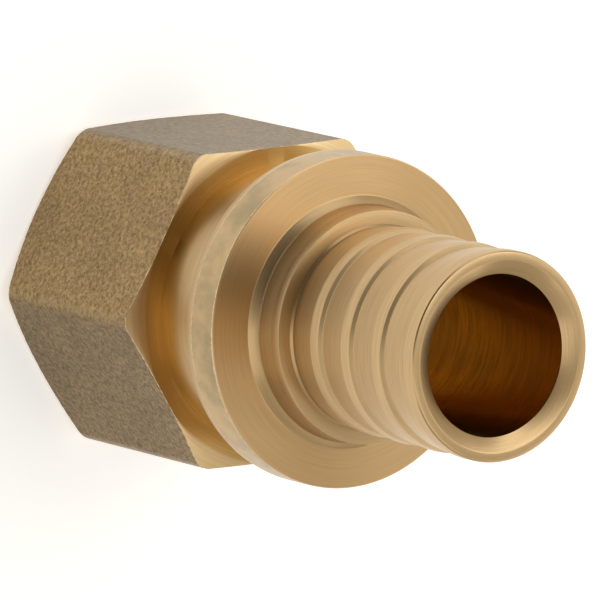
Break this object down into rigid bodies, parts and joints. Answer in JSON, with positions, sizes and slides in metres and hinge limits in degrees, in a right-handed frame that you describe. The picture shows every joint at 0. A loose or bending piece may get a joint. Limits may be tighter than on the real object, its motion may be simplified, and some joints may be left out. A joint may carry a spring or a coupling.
{
  "type": "female threaded pipe adapter",
  "caption": "Brass pipe adapter with a ribbed press barb, a collar with a jaw groove, and a hexagon with a female pipe thread.",
  "frame": {"origin": "centre of the hexagon's rear face, at the mouth of the female thread", "axes": "+Z along the waterway towards the tip of the pipe barb, +X out through a hexagon corner, -Y out through the middle of a flat"},
  "size_m": [0.0302, 0.028, 0.0512],
  "materials": {
    "brass": "bright turned barb, collar and faces; blasted forged hexagon flats, duller and browner"
  },
  "bodies": {
    "root": {"adapter_body": "brass"}
  },
  "joints": []
}
